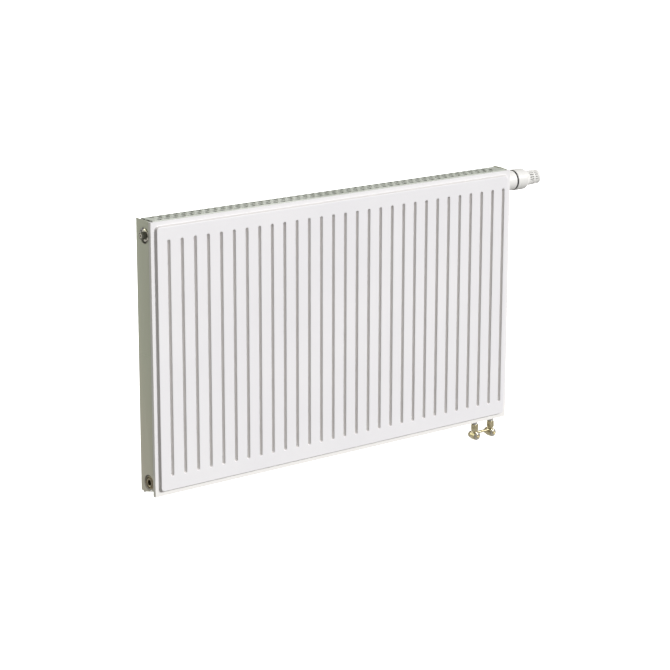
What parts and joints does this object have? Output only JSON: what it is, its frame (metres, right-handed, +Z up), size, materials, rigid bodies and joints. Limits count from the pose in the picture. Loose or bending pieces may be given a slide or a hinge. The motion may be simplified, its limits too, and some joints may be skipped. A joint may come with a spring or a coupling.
{
  "type": "panel radiator with thermostatic valve",
  "caption": "Steel panel radiator with pressed vertical grooves, top grille, side covers, a thermostatic valve head at one end and a shut-off block below.",
  "frame": {"origin": "centre of the four hanging lugs' pattern, on the plane of the lugs' outer faces", "axes": "+X along the length towards the thermostatic head, +Y towards the wall, +Z up"},
  "size_m": [1.1155, 0.072, 0.6503],
  "materials": {
    "enamel": "semi-gloss",
    "cover_enamel": "satin",
    "grille_enamel": "satin",
    "convector_primer": "matte",
    "block_steel": "satin",
    "raw_steel": "satin",
    "spring_steel": "polished",
    "brass": "machined",
    "nickel": "satin",
    "white_plastic": "satin",
    "black_plastic": "matte",
    "grey_plastic": "matte",
    "seal_rubber": "matte",
    "seat_plastic": "smooth"
  },
  "bodies": {
    "radiator": {"front_panel_outer_shell": "enamel", "front_panel_inner_shell": "enamel", "rear_panel_inner_shell": "enamel", "rear_panel_outer_shell": "enamel", "convector": "convector_primer", "corner_tee_top_left": "block_steel", "corner_tee_bottom_left": "block_steel", "connection_block": "block_steel", "riser_tube": "block_steel", "valve_housing": "block_steel", "hanging_lug_top_left": "enamel", "hanging_lug_top_right": "enamel", "hanging_lug_bottom_left": "enamel", "hanging_lug_bottom_right": "enamel", "top_grille": "grille_enamel", "cover_clips": "grey_plastic", "side_cover_left_upper": "cover_enamel", "side_cover_left_lower": "cover_enamel", "side_cover_right_upper": "cover_enamel", "side_cover_right_lower": "cover_enamel", "blind_plug": "brass", "blind_plug_oring": "seal_rubber", "vent_plug": "nickel", "vent_plug_oring": "seal_rubber", "valve_insert_body": "brass", "insert_oring": "seal_rubber", "gland_nut": "brass", "gland_oring": "seal_rubber", "return_spring": "spring_steel", "head_union_nut": "nickel", "head_base": "white_plastic", "head_index_ring": "black_plastic", "h_block_body": "brass", "union_nuts": "brass", "flat_seals": "seal_rubber", "shutoff_bonnets": "nickel", "shutoff_orings": "seal_rubber", "ball_seats": "seat_plastic"},
    "head_grip": {"head_handle": "white_plastic", "head_end_cap": "white_plastic"},
    "valve_stem": {"sensor_cartridge": "brass", "sensor_carrier": "grey_plastic", "overrun_spring": "spring_steel", "plunger": "grey_plastic", "gland_pin": "raw_steel", "valve_spindle": "raw_steel", "valve_cone": "brass", "cone_washer": "seal_rubber"},
    "vent_spout": {"vent_nozzle": "white_plastic"},
    "vent_needle": {"vent_screw": "nickel"},
    "left_shutoff": {"ball_left": "nickel", "spindle_left": "brass"},
    "right_shutoff": {"ball_right": "nickel", "spindle_right": "brass"}
  },
  "joints": [
    {"name": "head_turn", "type": "hinge", "parent": "radiator", "child": "head_grip", "pos_m": [0.5, -0.041, 0.267], "axis": [1, 0, 0], "range_deg": [-180, 120]},
    {"name": "valve_stroke", "type": "slide", "parent": "radiator", "child": "valve_stem", "axis": [1, 0, 0], "range_m": [-0.00241, 0.00161], "deforming": ["return_spring"]},
    {"name": "nozzle_swivel", "type": "hinge", "parent": "radiator", "child": "vent_spout", "pos_m": [-0.5, -0.041, 0.267], "axis": [-1, 0, 0], "continuous": true},
    {"name": "vent_screw_turn", "type": "hinge", "parent": "radiator", "child": "vent_needle", "pos_m": [-0.5, -0.041, 0.267], "axis": [-1, 0, 0], "range_deg": [0, 360]},
    {"name": "left_shutoff_turn", "type": "hinge", "parent": "radiator", "child": "left_shutoff", "pos_m": [0.4255, -0.041, -0.3403], "axis": [0, -1, 0], "range_deg": [0, 90]},
    {"name": "right_shutoff_turn", "type": "hinge", "parent": "radiator", "child": "right_shutoff", "pos_m": [0.4755, -0.041, -0.3403], "axis": [0, -1, 0], "range_deg": [0, 90]}
  ],
  "couplings": [
    {"joint": "valve_stroke", "follows": "head_turn", "m_per_rad": 0.00076394}
  ]
}
